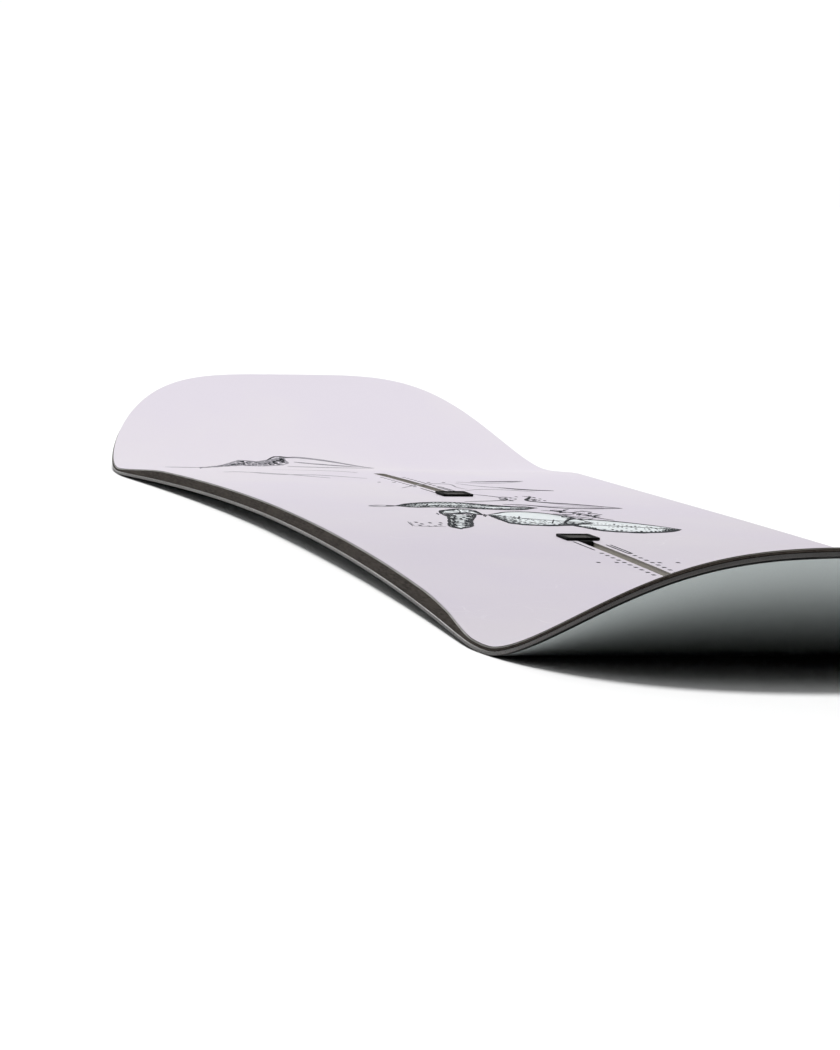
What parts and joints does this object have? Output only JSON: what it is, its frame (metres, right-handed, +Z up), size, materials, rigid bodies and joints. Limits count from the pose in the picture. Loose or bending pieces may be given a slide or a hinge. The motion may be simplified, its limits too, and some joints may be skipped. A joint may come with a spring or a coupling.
{
  "type": "snowboard",
  "caption": "Cambered directional snowboard deck with raised nose and tail, full steel edge and two binding channels closed by rubber plugs; no bindings fitted.",
  "frame": {"origin": "on the ground, below the middle of the board's length and width", "axes": "+X from the tail to the nose, +Y to the left when looking at the nose, +Z up from the base to the deck"},
  "size_m": [1.562, 0.3, 0.0596],
  "materials": {
    "topsheet": "matte",
    "fibreglass": "satin",
    "core_wood_pale": "matte",
    "core_wood_dark": "matte",
    "sidewall": "matte",
    "steel_edge": "satin",
    "damping_foil": "matte",
    "base": "gloss",
    "channel_track": "matte",
    "channel_plug": "matte"
  },
  "bodies": {
    "board": {"base_sheet": "base", "lower_fibreglass": "fibreglass", "upper_fibreglass": "fibreglass", "topsheet": "topsheet", "steel_edge_left": "steel_edge", "edge_damping_foil_left": "damping_foil", "sidewall_left": "sidewall", "steel_edge_right": "steel_edge", "edge_damping_foil_right": "damping_foil", "sidewall_right": "sidewall", "core_strip_1": "core_wood_pale", "core_strip_2": "core_wood_dark", "core_strip_3": "core_wood_pale", "core_strip_4": "core_wood_dark", "core_strip_5": "core_wood_pale", "core_strip_6": "core_wood_dark", "core_strip_7": "core_wood_pale", "core_strip_8": "core_wood_dark", "core_strip_9": "core_wood_pale", "end_spacer_nose": "sidewall", "channel_track_nose": "channel_track", "end_spacer_tail": "sidewall", "channel_track_tail": "channel_track"},
    "plug_nose": {"channel_plug_nose": "channel_plug"},
    "plug_tail": {"channel_plug_tail": "channel_plug"}
  },
  "joints": [
    {"name": "plug_nose_lift", "type": "slide", "parent": "board", "child": "plug_nose", "axis": [0, 0, 1], "range_m": [0, 0.03]},
    {"name": "plug_tail_lift", "type": "slide", "parent": "board", "child": "plug_tail", "axis": [0, 0, 1], "range_m": [0, 0.03]}
  ]
}
